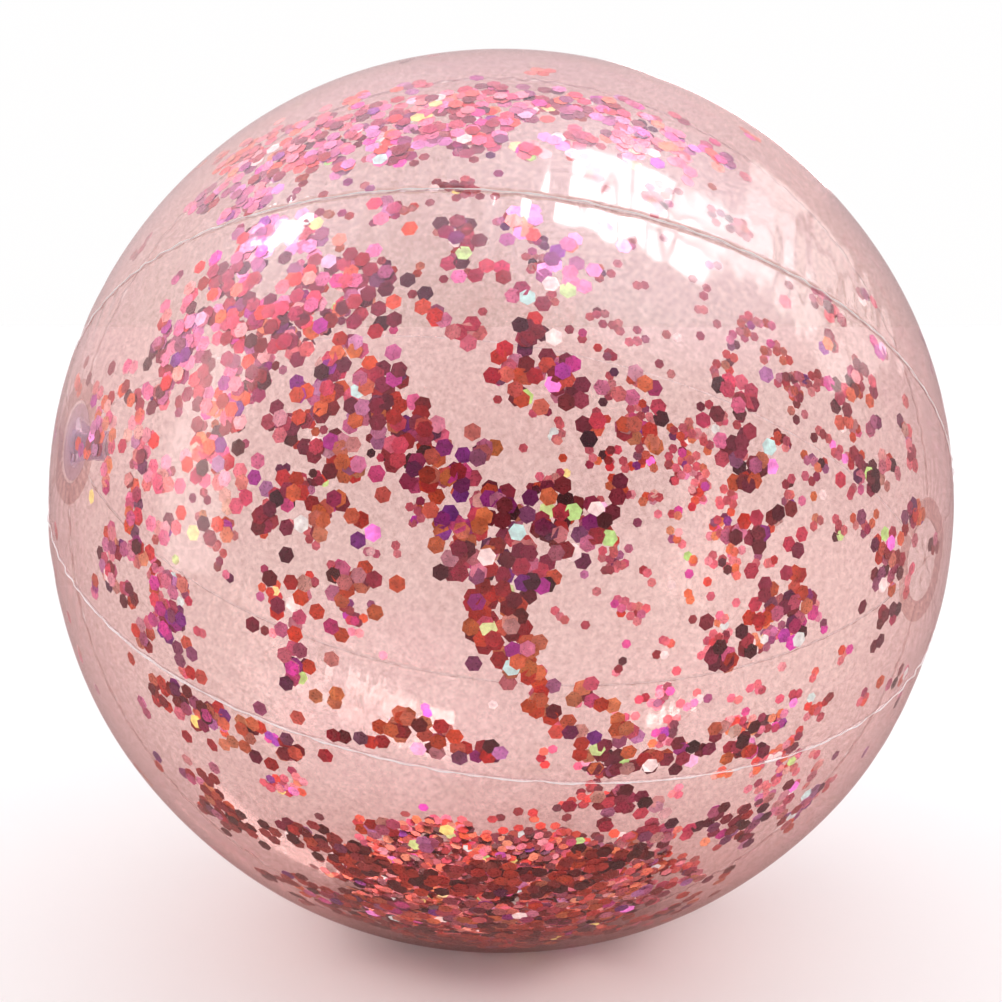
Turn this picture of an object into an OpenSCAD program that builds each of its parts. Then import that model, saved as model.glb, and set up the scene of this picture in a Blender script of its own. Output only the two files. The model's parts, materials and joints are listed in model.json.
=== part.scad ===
// Clear inflatable beach ball with glitter inside, standing on its contact patch.
// Origin: middle of the contact patch on the floor. +Z up, the front looks along -Y.
// The polar axis runs along X and leans up towards -X, where the valve is.

/* [Ball] */
// Diameter of the inflated ball
ball_d = 300; // [260:5:340]
// Thickness of the film
film_t = 0.3; // [0.2:0.05:0.4]
// Diameter of the flat contact patch on the floor
patch_d = 28; // [20:1:32]

/* [Pose] */
// Lean of the polar axis, valve end up, in degrees
axis_lean = 8; // [4:0.5:12]
// Height of the front panel's centre line above level, in degrees
front_lift = 9.5; // [9:0.5:14]

/* [Seams] */
// Thickness of a seam fin
seam_t = 0.6; // [0.4:0.1:0.8]
// Height of a seam fin above the film
seam_h = 1; // [0.5:0.1:1]

/* [End caps] */
// Diameter of the round cap over the panel tips at each end
cap_d = 44; // [38:1:56]
// Thickness of an end cap
cap_t = 0.35; // [0.25:0.05:0.5]

/* [Valve] */
// Outer diameter of the stem
stem_d = 7.5; // [7:0.1:8]
// Bore of the stem
bore_d = 5.2; // [4.6:0.1:5.4]
// Length of the stem
stem_l = 11.5; // [10:0.5:13]
// Depth of the plug in the bore
plug_l = 6.5; // [4:0.5:7]

/* [Glitter] */
// Width of a glitter flake across its flats
flake_w = 4; // [3:0.1:4.2]
// Thickness of a glitter flake
flake_t = 0.15; // [0.1:0.05:0.2]
// Share of the places on the film that hold a clinging flake
flake_share = 0.055; // [0.02:0.005:0.08]
// Flakes in each layer of the loose pile
pile_n = 56; // [20:1:60]

/* [Hidden] */
$fn = 96;

// Ball
ball_r = ball_d / 2;
patch_sag = ball_r - sqrt(pow(ball_r, 2) - pow(patch_d / 2, 2));
centre_h = ball_r - patch_sag;
far = 2 * ball_r;
panel_angle = 360 / 6;
weld_gap = 0.02;

// End caps: the panel tips are trimmed to a round hole, which the cap covers
cap_r = cap_d / 2;
tip_r = 14;
fin_gap = 0.3;

// Valve, measured along the polar axis from the ball's centre
flange_r = 13.5;
flange_t = 0.8;
port_r = 9;
boot_t = 0.5;
boot_play = 0.1;
stem_r = stem_d / 2;
bore_r = bore_d / 2;
rim_r = stem_r + 0.6;
rim_h = 1;
collar_r = stem_r + 0.9;
collar_h = 0.9;
mouth_z = ball_r - 0.9;
stem_z = mouth_z - stem_l;
heel_w = 3;
heel_h = 0.5;
hinge_x = stem_r + 0.05;
flap_t = 0.4;
flap_gap = 0.15;
flap_r = bore_r + 0.7;
plug_play = 0.05;
plug_nose = 1;
head_r = 4.1;
head_h = 1.2;
head_gap = 0.1;
tab_w = 3;
tab_l = 2.6;
tab_h = 0.8;
tether_w = 2.2;
tether_t = 0.45;
tether_reach = 7;

// Glitter
golden_angle = 137.508;
places = 6000;
cling_gap = 0.1;
seam_margin = 1.2;
cap_margin = 12;
patch_margin = 12;
share_gain = 0.09;
share_seed = 41;
pile_angle = 24;
pile_layers = 3;
pile_step = 0.5;
pile_gap = 0.35;
flake_r = flake_w / 2 / cos(30);
cling_d = sqrt(pow(ball_r - film_t - cling_gap, 2) - pow(flake_r, 2)) - flake_t;
pile_d = min(
    sqrt(pow(cling_d - pile_gap, 2) - pow(flake_r, 2)),
    centre_h - film_t - pile_gap
) - flake_t;
place_luck = rands(0, 1, places, share_seed);

// Local frame: +Z along the polar axis to the valve, +X up, +Y away from the front
module on_axis()
    translate([0, 0, centre_h])
        rotate([0, axis_lean, 0])
            rotate([0, -90, 0])
                children();

// Direction round the polar axis of panel k's centre line, in degrees from up
function panel_turn(k) = -90 + front_lift + (k - 1) * panel_angle;

function unit(turn) = [cos(turn), sin(turn)];

// Ball of radius r, flat where it stands at height floor_z
module standing_ball(r, floor_z)
    intersection() {
        translate([0, 0, centre_h])
            sphere(r);
        translate([-far, -far, floor_z])
            cube([2 * far, 2 * far, 2 * far]);
    }

module film()
    difference() {
        standing_ball(ball_r, 0);
        standing_ball(ball_r - film_t, film_t);
    }

// Everything between the seam planes on both sides of panel k
module wedge(k) {
    apex = seam_t / 2 / sin(panel_angle / 2) * unit(panel_turn(k));
    linear_extrude(2 * far, center = true)
        polygon([
            apex,
            apex + far * unit(panel_turn(k) - panel_angle / 2),
            apex + far * unit(panel_turn(k) + panel_angle / 2)
        ]);
}

module tip_holes()
    cylinder(r = tip_r, h = 2 * far, center = true);

module panel(k)
    color([0.93, 0.72, 0.72, 0.4])
        difference() {
            intersection() {
                film();
                on_axis() wedge(k);
            }
            on_axis() tip_holes();
        }

// Weld between panel k and panel k + 1: a web in the film and a fin outside it
module seam(k)
    color([0.98, 0.9, 0.9, 0.7])
        on_axis()
            difference() {
                intersection() {
                    sphere(ball_r + seam_h);
                    rotate([0, 0, panel_turn(k) + panel_angle / 2])
                        translate([0, -seam_t / 2, -far])
                            cube([far, seam_t, 2 * far]);
                }
                sphere(ball_r - film_t);
                tip_holes();
                difference() {
                    cylinder(r = cap_r + fin_gap, h = 2 * far, center = true);
                    sphere(ball_r);
                }
            }

// Round cap of film on the outside of the ball, centred on local +Z
module cap_disc(hole_r)
    difference() {
        intersection() {
            sphere(ball_r + weld_gap + cap_t);
            cylinder(r = cap_r, h = far);
        }
        sphere(ball_r + weld_gap);
        if (hole_r > 0)
            cylinder(r = hole_r, h = far);
    }

module valve_end_cap()
    color([0.93, 0.75, 0.78, 0.6])
        on_axis()
            cap_disc(port_r);

module plain_end_cap()
    color([0.93, 0.75, 0.78, 0.6])
        on_axis()
            mirror([0, 0, 1])
                cap_disc(0);

// Ring under the cap that the valve is moulded on
module valve_flange()
    color([0.88, 0.84, 0.9, 0.8])
        on_axis()
            difference() {
                intersection() {
                    sphere(ball_r);
                    cylinder(r = flange_r, h = far);
                }
                sphere(ball_r - flange_t);
                cylinder(r = port_r, h = far);
            }

// Thin sleeve from the flange down to the stem's collar: it turns inside out when the stem is pulled
module valve_boot() {
    top_r = port_r - weld_gap;
    top_z = ball_r - flange_t;
    foot_r = collar_r + boot_play;
    foot_z = stem_z + collar_h / 2;
    color([0.88, 0.84, 0.9, 0.6])
        on_axis()
            rotate_extrude()
                polygon([
                    [top_r - boot_t, top_z],
                    [top_r, top_z],
                    [foot_r + boot_t, foot_z],
                    [foot_r, foot_z]
                ]);
}

// Tube that is blown into, pushed in. The heel under its collar holds the check flap.
module valve_stem()
    color([0.88, 0.84, 0.9, 0.9])
        on_axis() {
            difference() {
                union() {
                    translate([0, 0, stem_z])
                        cylinder(r = stem_r, h = stem_l);
                    translate([0, 0, stem_z])
                        cylinder(r = collar_r, h = collar_h);
                    translate([0, 0, mouth_z - rim_h])
                        cylinder(r = rim_r, h = rim_h);
                    translate([hinge_x + flap_t / 2 + flap_gap, -heel_w / 2, stem_z - heel_h])
                        cube([collar_r - hinge_x - flap_t, heel_w, 2 * heel_h]);
                }
                translate([0, 0, stem_z - heel_h])
                    cylinder(r = bore_r, h = stem_l + 2 * heel_h);
            }
        }

// Tongue that closes the inner end of the bore. Its upper edge is rounded about the hinge line.
module check_flap() {
    flap_z = stem_z - flap_gap - flap_t;
    color([0.9, 0.88, 0.92, 0.8])
        on_axis() {
            translate([0, 0, flap_z])
                cylinder(r = flap_r, h = flap_t);
            translate([0, -heel_w / 2, flap_z])
                cube([hinge_x, heel_w, flap_t]);
            translate([hinge_x, 0, flap_z + flap_t / 2])
                rotate([90, 0, 0])
                    cylinder(r = flap_t / 2, h = heel_w, center = true);
        }
}

// Stopper with a flat head and a small tab to pull it by
module plug() {
    body_r = bore_r - plug_play;
    head_z = mouth_z + head_gap;
    color([0.9, 0.86, 0.92])
        on_axis() {
            translate([0, 0, head_z - plug_l])
                cylinder(r = body_r, h = plug_l + head_gap);
            translate([0, 0, head_z - plug_l - plug_nose])
                cylinder(r1 = body_r - plug_nose / 2, r2 = body_r, h = plug_nose);
            translate([0, 0, head_z])
                cylinder(r = head_r, h = head_h);
            translate([0, -tab_w / 2, head_z + head_h - tab_h])
                cube([head_r + tab_l, tab_w, tab_h]);
        }
}

// Strap that keeps the plug on the stem, folded beside it
module plug_tether() {
    low = mouth_z - rim_h / 2;
    high = mouth_z + head_gap + head_h / 2;
    bend_r = (high - low) / 2;
    color([0.9, 0.86, 0.92, 0.9])
        on_axis()
            rotate([90, 0, 0])
                linear_extrude(tether_w, center = true)
                    difference() {
                        union() {
                            translate([-tether_reach + bend_r, (low + high) / 2])
                                circle(bend_r + tether_t / 2);
                            translate([-tether_reach + bend_r, low - tether_t / 2])
                                square([
                                    tether_reach - bend_r - rim_r - weld_gap,
                                    high - low + tether_t
                                ]);
                        }
                        translate([-tether_reach + bend_r, (low + high) / 2])
                            circle(bend_r - tether_t / 2);
                        translate([-tether_reach + bend_r, low + tether_t / 2])
                            square([tether_reach, high - low - tether_t]);
                    }
}

// Even places over the ball along a spiral from one pole to the other
function place(i) =
    let (z = 1 - (2 * i + 1) / places, r = sqrt(1 - z * z), turn = i * golden_angle)
    [r * cos(turn), r * sin(turn), z];

// Angle round the polar axis between a direction and panel k's centre line
function turn_from_panel(p, k) =
    let (turn = atan2(p.y, p.x) - panel_turn(k))
    abs(turn - 360 * round(turn / 360));

function from_pole(p) = min(acos(p.z), 180 - acos(p.z));
function down_share(p) = -p.x * cos(axis_lean) - p.z * sin(axis_lean);
function share(p) = flake_share + share_gain * pow(max(0, down_share(p)), 3);

// True if the flake at direction p lies whole on panel k, off the caps and the contact patch
function on_panel(p, k) =
    from_pole(p) > cap_margin
    && down_share(p) < cos(patch_margin)
    && turn_from_panel(p, k) < panel_angle / 2 - seam_margin / sin(from_pole(p));

// Flake facing the centre from distance d in direction p
module flake(p, d, spin)
    rotate([0, acos(p.z), atan2(p.y, p.x)])
        translate([0, 0, d])
            rotate([0, 0, spin])
                cylinder(r = flake_r, h = flake_t, $fn = 6);

module glitter_on_panel(k)
    color([0.78, 0.25, 0.38])
        on_axis()
            for (i = [0 : places - 1])
                let (p = place(i))
                    if (place_luck[i] < share(p) && on_panel(p, k))
                        flake(p, cling_d, i * golden_angle);

// Loose flakes lying in layers at the bottom, clear of the clinging ones
module glitter_pile()
    color([0.8, 0.3, 0.25])
        translate([0, 0, centre_h])
            rotate([180, 0, 0])
                for (layer = [0 : pile_layers - 1])
                    for (i = [0 : pile_n - 1])
                        let (
                            lean = pile_angle * (1 - layer / 8) * sqrt((i + 0.5) / pile_n),
                            turn = (i + layer / 2) * golden_angle
                        )
                            flake(
                                [sin(lean) * cos(turn), sin(lean) * sin(turn), cos(lean)],
                                pile_d - layer * pile_step,
                                turn
                            );

panel(1);  // panel_1
panel(2);  // panel_2
panel(3);  // panel_3
panel(4);  // panel_4
panel(5);  // panel_5
panel(6);  // panel_6
seam(1);  // seam_1
seam(2);  // seam_2
seam(3);  // seam_3
seam(4);  // seam_4
seam(5);  // seam_5
seam(6);  // seam_6
valve_end_cap();
plain_end_cap();
valve_flange();
valve_boot();
valve_stem();
check_flap();
plug();
plug_tether();
glitter_on_panel(1);  // glitter_on_panel_1
glitter_on_panel(2);  // glitter_on_panel_2
glitter_on_panel(3);  // glitter_on_panel_3
glitter_on_panel(4);  // glitter_on_panel_4
glitter_on_panel(5);  // glitter_on_panel_5
glitter_on_panel(6);  // glitter_on_panel_6
glitter_pile();
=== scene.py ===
import json
import math
from collections import namedtuple
from itertools import product

import bmesh
import bpy
import numpy as np
from mathutils import Matrix, Vector


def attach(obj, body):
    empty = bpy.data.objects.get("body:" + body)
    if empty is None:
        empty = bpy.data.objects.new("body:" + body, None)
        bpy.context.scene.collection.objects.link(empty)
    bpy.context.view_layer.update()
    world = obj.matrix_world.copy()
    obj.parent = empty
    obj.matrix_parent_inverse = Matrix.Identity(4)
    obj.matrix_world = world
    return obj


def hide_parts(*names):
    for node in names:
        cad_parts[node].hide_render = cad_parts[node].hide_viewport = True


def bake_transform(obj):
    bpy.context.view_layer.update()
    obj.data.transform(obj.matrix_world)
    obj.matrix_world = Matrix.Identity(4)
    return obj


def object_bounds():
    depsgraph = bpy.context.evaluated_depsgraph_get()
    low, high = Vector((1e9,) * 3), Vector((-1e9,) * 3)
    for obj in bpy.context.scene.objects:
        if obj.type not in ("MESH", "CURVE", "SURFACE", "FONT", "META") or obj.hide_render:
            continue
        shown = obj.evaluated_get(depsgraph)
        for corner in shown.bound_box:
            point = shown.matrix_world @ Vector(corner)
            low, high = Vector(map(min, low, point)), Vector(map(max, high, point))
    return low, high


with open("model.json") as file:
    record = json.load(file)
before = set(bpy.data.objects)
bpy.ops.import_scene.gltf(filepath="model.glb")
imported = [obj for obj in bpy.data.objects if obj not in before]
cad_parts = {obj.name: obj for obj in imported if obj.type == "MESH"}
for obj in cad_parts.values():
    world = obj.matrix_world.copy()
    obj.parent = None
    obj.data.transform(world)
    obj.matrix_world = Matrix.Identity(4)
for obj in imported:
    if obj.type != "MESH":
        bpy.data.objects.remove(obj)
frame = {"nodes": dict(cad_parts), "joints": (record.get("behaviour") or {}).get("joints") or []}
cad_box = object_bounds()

scene = bpy.context.scene
MM = 0.001


def unit(vectors):
    """Vectors at length 1."""
    vectors = np.array(vectors, float)
    return vectors / np.linalg.norm(vectors, axis=-1, keepdims=True)


# -------- the frame
joints = {j["name"]: j for j in frame["joints"]}
CENTRE = np.array(joints["glitter_roll"]["pos_m"], float)
TO_VALVE = unit(joints["glitter_roll"]["axis"])
TO_BACK = np.array([0.0, 1.0, 0.0])
TO_TOP = np.cross(TO_BACK, TO_VALVE)
BALL_R = cad_box[1][2] - CENTRE[2]
PANELS = 6
HALF_PANEL = math.pi / PANELS

# Where the camera stands, its distance in ball radii
CAMERA_UP = math.radians(7.5)
CAMERA_AWAY = 3.2
CAMERA_TOWARD = np.array([0.0, -math.cos(CAMERA_UP), math.sin(CAMERA_UP)])
CAMERA_UPRIGHT = np.array([0.0, math.sin(CAMERA_UP), math.cos(CAMERA_UP)])


def cad_points(node):
    """A CAD node's vertices, measured from the ball's centre."""
    return np.array([v.co for v in frame["nodes"][node].data.vertices]) - CENTRE


def seam_turn(k):
    """The turn round the polar axis at which seam k lies, from the CAD seam."""
    mean = cad_points(f"seam_{k}").mean(axis=0)
    return math.atan2(mean @ TO_BACK, mean @ TO_TOP)


SEAM_TURNS = [seam_turn(k) for k in range(1, PANELS + 1)]
Extent = namedtuple("Extent", "low high inner outer")


def extent(node):
    """How far a CAD node reaches: low to high along the polar axis, and inner to outer from it."""
    co = cad_points(node)
    along = co @ TO_VALVE
    across = np.linalg.norm(co - along[:, None] * TO_VALVE, axis=1)
    return Extent(along.min(), along.max(), across.min(), across.max())


# -------- the film's shape
FILM_T = 0.25 * MM
SEAM_DIP = 1.3 * MM
PRESSED_LEAN = math.radians(20)
POLE_DIP = 0.5 * MM
POLE_LEAN = math.radians(11)
PUCKER = 0.28 * MM
PUCKER_REACH = math.radians(7)
PLEAT = 0.1 * MM
PLEAT_REACH = math.radians(5)
PLEATS = 30
SWELL = 0.25 * MM
CAP_R = extent("plain_end_cap").outer
CAP_LEAN = math.asin(CAP_R / BALL_R)
TIP_LEAN = math.radians(5.6)


def directions(lean, turn):
    """Unit vectors at angle lean from the valve's pole and turn round the polar axis."""
    lean, turn = (values[..., None] for values in np.broadcast_arrays(lean, turn))
    across = np.sin(lean) * np.cos(turn) * TO_TOP + np.sin(lean) * np.sin(turn) * TO_BACK
    return across + np.cos(lean) * TO_VALVE


def angles(d):
    """The lean and turn of unit vectors."""
    return np.arccos(np.clip(d @ TO_VALVE, -1, 1)), np.arctan2(d @ TO_BACK, d @ TO_TOP)


def from_seam(turn):
    """Angle from each turn to its nearest seam, and how near that is: 0 mid-panel, 1 at the seam."""
    away = np.abs((turn - SEAM_TURNS[0] + HALF_PANEL) % (2 * HALF_PANEL) - HALF_PANEL)
    return away, 1 - away / HALF_PANEL


def film_radius(lean, turn):
    """Distance of the film's outer face from the centre.

    Panels crown between seams, pucker beside them and pleat at the caps.
    """
    lean, turn = np.broadcast_arrays(lean, turn)
    away, share = from_seam(turn)
    pole = np.minimum(lean, math.pi - lean)
    width = np.sin(pole)
    nadir = np.arccos(np.clip(-directions(lean, turn)[..., 2], -1, 1))
    free = 1 - np.exp(-((nadir / PRESSED_LEAN) ** 4))
    dip = SEAM_DIP * share**2 * width * free
    side = np.sign(np.sin(PANELS * (turn - SEAM_TURNS[0])))
    beat = np.sin(11 * lean + 2.1 * side) * np.sin(17 * lean + 1.3) + 0.4
    ripple = np.sin(96 * lean + 3 * np.sin(9 * lean) + 1.7 * side)
    pucker = PUCKER * np.exp(-((away * width / PUCKER_REACH) ** 1.5)) * ripple * beat * free
    ring = np.exp(-(((pole - CAP_LEAN) / PLEAT_REACH) ** 2))
    pleat = PLEAT * ring * np.sin(PLEATS * turn + 4 * np.sin(3 * turn))
    swell = SWELL * np.sin(5 * turn + 3.1 * np.cos(2 * lean)) * np.sin(4 * lean + turn) * free
    flat = POLE_DIP * np.exp(-((pole / POLE_LEAN) ** 2))
    return BALL_R - dip + pucker + pleat + swell - flat


def film_points(lean, turn, inside=0.0):
    """Points on the film, inside metres below its outer face, flat where the ball stands."""
    points = CENTRE + (film_radius(lean, turn) - inside)[..., None] * directions(lean, turn)
    points[..., 2] = np.maximum(points[..., 2], inside)
    return points


# -------- mesh helpers
LATHE_SEGMENTS = 96


def new_piece(name, points, faces, material, body, smooth=True):
    """A mesh object with every face turned outward, riding a body if one is given."""
    mesh = bpy.data.meshes.new(name)
    mesh.from_pydata([tuple(p) for p in points], [], faces)
    shell = bmesh.new()
    shell.from_mesh(mesh)
    bmesh.ops.recalc_face_normals(shell, faces=shell.faces)
    if shell.calc_volume(signed=True) < 0:
        bmesh.ops.reverse_faces(shell, faces=shell.faces)
    shell.to_mesh(mesh)
    shell.free()
    for face in mesh.polygons:
        face.use_smooth = smooth
    mesh.materials.append(material)
    piece = bpy.data.objects.new(name, mesh)
    scene.collection.objects.link(piece)
    if body:
        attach(piece, body)
    return piece


def ring_faces(first, second, columns, flip=False, closed=True):
    """Quads between two rows of points numbered from first and second, joined end to end if closed."""
    faces = []
    for c in range(columns if closed else columns - 1):
        n = (c + 1) % columns
        quad = [first + c, first + n, second + n, second + c]
        faces.append(quad[::-1] if flip else quad)
    return faces


def grid_faces(rows, columns, start=0, flip=False, closed=False):
    """Quads over a grid of points numbered from start, each row joined end to end if closed."""
    faces = []
    for first in range(start, start + (rows - 1) * columns, columns):
        faces += ring_faces(first, first + columns, columns, flip, closed)
    return faces


def tube_faces(rows, columns, flip=False):
    """Quads along a closed tube of points, and a face over each of its ends."""
    start_cap = list(range(columns))
    end_cap = [(rows - 1) * columns + c for c in range(columns)]
    faces = grid_faces(rows, columns, flip=flip, closed=True)
    return faces + ([start_cap, end_cap[::-1]] if flip else [start_cap[::-1], end_cap])


def closed_sheet(outer, inner):
    """Points and faces of a solid sheet between two grids of points, with its four edges closed."""
    rows, columns = outer.shape[:2]
    count = rows * columns
    points = np.concatenate([outer.reshape(-1, 3), inner.reshape(-1, 3)])
    faces = grid_faces(rows, columns, flip=True) + grid_faces(rows, columns, start=count)
    loop = (
        list(range(columns))
        + [r * columns + columns - 1 for r in range(1, rows)]
        + [(rows - 1) * columns + c for c in range(columns - 2, -1, -1)]
        + [r * columns for r in range(rows - 2, 0, -1)]
    )
    for a, b in zip(loop, loop[1:] + loop[:1]):
        faces.append([b, b + count, a + count, a])
    return points, faces


def lathe(profile, wave=None):
    """Points and faces of a ring turned about the polar axis from (radius, distance along it) pairs.

    wave, if given, says how much further out each point lies, from its distance along and its turn.
    """
    turns = np.linspace(0, 2 * math.pi, LATHE_SEGMENTS, endpoint=False)
    r, z = (np.array(values)[:, None] * np.ones(LATHE_SEGMENTS) for values in zip(*profile))
    if wave:
        r = r + wave(z, turns[None, :])
    points = (
        CENTRE
        + (r * np.cos(turns))[..., None] * TO_TOP
        + (r * np.sin(turns))[..., None] * TO_BACK
        + z[..., None] * TO_VALVE
    )
    faces = grid_faces(len(profile), LATHE_SEGMENTS, closed=True)
    faces += ring_faces((len(profile) - 1) * LATHE_SEGMENTS, 0, LATHE_SEGMENTS)
    return points.reshape(-1, 3), faces


def rounded(corners, radius, steps=4):
    """A closed outline with each corner cut by a small arc."""
    out = []
    count = len(corners)
    for i in range(count):
        before, here, after = (np.array(corners[j % count], float) for j in (i - 1, i, i + 1))
        a, b = before - here, after - here
        reach = min(radius, 0.45 * np.linalg.norm(a), 0.45 * np.linalg.norm(b))
        a, b = here + unit(a) * reach, here + unit(b) * reach
        for s in np.linspace(0, 1, steps + 1):
            out.append(tuple((1 - s) ** 2 * a + 2 * s * (1 - s) * here + s**2 * b))
    return out


# -------- materials
def colour(*shade):
    """Linear colour, with full alpha, from the usual 0 to 255 values."""
    return tuple(((v / 255 + 0.055) / 1.055) ** 2.4 if v > 10 else v / 255 / 12.92 for v in shade) + (1.0,)


WHITE = colour(255, 255, 255)


class Nodes:
    """Short names for making the nodes of a material or a world."""

    def __init__(self, owner):
        self.owner = owner
        owner.use_nodes = True
        self.tree = owner.node_tree
        self.tree.nodes.clear()
        self.place = self.add("TexCoord").outputs["Object"]

    def add(self, kind, *values, **named):
        """A node, with values or links for its first sockets and for settings or sockets by name."""
        node = self.tree.nodes.new("ShaderNode" + kind)
        for socket, value in zip(node.inputs, values):
            self.put(socket, value)
        for key, value in named.items():
            if hasattr(node, key):
                setattr(node, key, value)
            else:
                self.put(node.inputs[key.replace("_", " ")], value)
        return node

    def put(self, socket, value):
        if isinstance(value, bpy.types.NodeSocket):
            self.tree.links.new(value, socket)
        else:
            socket.default_value = value

    def noise(self, scale, detail=3.0, roughness=0.55):
        node = self.add("TexNoise", self.place, Scale=scale, Detail=detail, Roughness=roughness)
        return node.outputs["Fac"]

    def maths(self, operation, *values):
        return self.add("Math", *values, operation=operation).outputs[0]

    def scaled(self, vector, share):
        return self.add("VectorMath", vector, operation="SCALE", Scale=share).outputs[0]

    def span(self, value, low, high, from_low=0.0, from_high=1.0):
        """The value, carried from one range to another."""
        return self.add("MapRange", value, from_low, from_high, low, high).outputs["Result"]

    def mix_colour(self, share, a, b, blend="MIX"):
        node = self.add("Mix", share, data_type="RGBA", blend_type=blend)
        self.put(node.inputs[6], a)
        self.put(node.inputs[7], b)
        return node.outputs[2]

    def bump(self, height, strength, distance):
        return self.add("Bump", Height=height, Strength=strength, Distance=distance).outputs["Normal"]

    def mix_shader(self, share, a, b):
        return self.add("MixShader", share, a.outputs[0], b.outputs[0])

    def finish(self, shader, kind="OutputMaterial"):
        self.add(kind, Surface=shader.outputs[0])
        return self.owner


HEAD_ON_GLOSS = 0.04
EDGE_HAZE = 2.2


def clear_vinyl(name, head_on, edge_on, haze, haze_colour, rough, rim_gloss):
    """Thin clear film: tinted more deeply edge-on, glossy, and a little milky.

    haze is how milky it looks head-on. With None, the mesh says how milky each face is.
    """
    head_on, edge_on, haze_colour = colour(*head_on), colour(*edge_on), colour(*haze_colour)
    n = Nodes(bpy.data.materials.new(name))
    facing = n.add("LayerWeight", Blend=0.5).outputs["Facing"]
    cloud, grain = n.noise(28.0, 4.0, 0.6), n.noise(640.0, 3.0, 0.6)
    tint = n.mix_colour(n.maths("POWER", facing, 3.0), head_on, edge_on)
    tint = n.mix_colour(n.span(cloud, 0.0, 0.3, 0.35, 0.75), tint, edge_on)
    mottle = n.mix_colour(n.span(grain, 0.0, 1.0, 0.35, 0.7), WHITE, colour(245, 242, 241))
    clear = n.add("BsdfTransparent", n.mix_colour(1.0, tint, mottle, "MULTIPLY"))
    orange_peel = n.noise(650.0, 2.0, 0.5)
    waves = n.noise(70.0, 3.0, 0.5)
    normal = n.bump(n.maths("ADD", n.maths("MULTIPLY", orange_peel, 0.2), waves), 0.07, 0.0006)
    gloss = n.add("BsdfGlossy", Roughness=n.span(cloud, rough, rough + 0.09, 0.3, 0.7), Normal=normal)
    mirror = n.maths("MULTIPLY_ADD", n.maths("POWER", facing, 5.0), rim_gloss, HEAD_ON_GLOSS)
    tinge = n.mix_colour(cloud, haze_colour, edge_on)
    body = n.add("BsdfPrincipled", Base_Color=tinge, Roughness=0.4, Normal=normal)
    if haze is None:
        milk = n.add("Attribute", attribute_name="milkiness").outputs["Fac"]
    else:
        milk = n.maths("MULTIPLY_ADD", n.maths("POWER", facing, 2.0), haze * EDGE_HAZE, haze)
    return n.finish(n.mix_shader(milk, n.mix_shader(mirror, clear, gloss), body))


def milky_vinyl(name, base, shade, through):
    """Soft moulded vinyl that lets part of what is behind it show."""
    base, shade = colour(*base), colour(*shade)
    n = Nodes(bpy.data.materials.new(name))
    mottle = n.noise(240.0, 4.0, 0.6)
    skin = n.add(
        "BsdfPrincipled",
        Base_Color=n.mix_colour(mottle, base, shade),
        Roughness=n.span(mottle, 0.16, 0.42, 0.3, 0.7),
        Normal=n.bump(n.noise(1400.0, 2.0), 0.25, 0.0003),
        IOR=1.5,
        Subsurface_Weight=0.3,
        Subsurface_Scale=0.002,
    )
    return n.finish(n.mix_shader(through, skin, n.add("BsdfTransparent", base)))


def hologram_foil(name):
    """Metallised film in each flake's own colour, with fine shifts of tone and a grating's cells.

    The colour's alpha is how much the flake glows: a painted glint, emission standing in for the flash of
    light off the foil.
    """
    n = Nodes(bpy.data.materials.new(name))
    own = n.add("Attribute", attribute_name="flake_colour_and_glow").outputs
    tone = n.span(n.noise(420.0, 2.0, 0.5), 0.0, 1.0, 0.3, 0.7)
    shade = n.mix_colour(tone, colour(214, 206, 210), WHITE)
    tinted = n.mix_colour(1.0, own["Color"], shade, "MULTIPLY")
    grating = n.add("TexVoronoi", n.place, Scale=2600.0).outputs["Distance"]
    skin = n.add(
        "BsdfPrincipled",
        Base_Color=tinted,
        Metallic=n.maths("MULTIPLY", n.maths("SUBTRACT", 1.0, own["Alpha"]), 0.6),
        # Each flake glows by its colour's alpha: painted glints, not a lamp
        Emission_Color=tinted,
        Emission_Strength=n.maths("MULTIPLY", own["Alpha"], 0.75),
        Roughness=n.span(n.noise(1500.0, 2.0), 0.22, 0.42, 0.3, 0.7),
        Normal=n.bump(grating, 0.04, 0.0002),
        Specular_IOR_Level=0.6,
        Coat_Weight=0.2,
        Coat_Roughness=0.1,
    )
    return n.finish(skin)


film_vinyl = clear_vinyl(
    "clear_rose_vinyl", (252, 243, 241), (249, 234, 234), 0.003, (240, 205, 200), 0.045, 0.45
)
seam_vinyl = clear_vinyl("welded_vinyl", (255, 253, 253), (253, 249, 250), None, (255, 252, 252), 0.08, 0.12)
boot_vinyl = clear_vinyl("boot_vinyl", (246, 240, 250), (238, 230, 246), 0.06, (232, 222, 242), 0.09, 0.4)
flange_vinyl = clear_vinyl(
    "flange_vinyl", (250, 246, 252), (244, 238, 250), 0.16, (244, 238, 250), 0.08, 0.4
)
cap_vinyl = clear_vinyl("cap_vinyl", (252, 245, 243), (250, 240, 240), 0.025, (250, 232, 230), 0.06, 0.4)
valve_vinyl = milky_vinyl("valve_vinyl", (244, 238, 250), (226, 214, 238), 0.25)
flap_film = milky_vinyl("flap_film", (240, 234, 244), (222, 214, 232), 0.5)
foil = hologram_foil("hologram_foil")


# -------- panels
PANEL_ROWS = 241
PANEL_COLUMNS = 65
EDGE_SHARE = 0.4
WEB_T = 0.32 * MM


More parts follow.
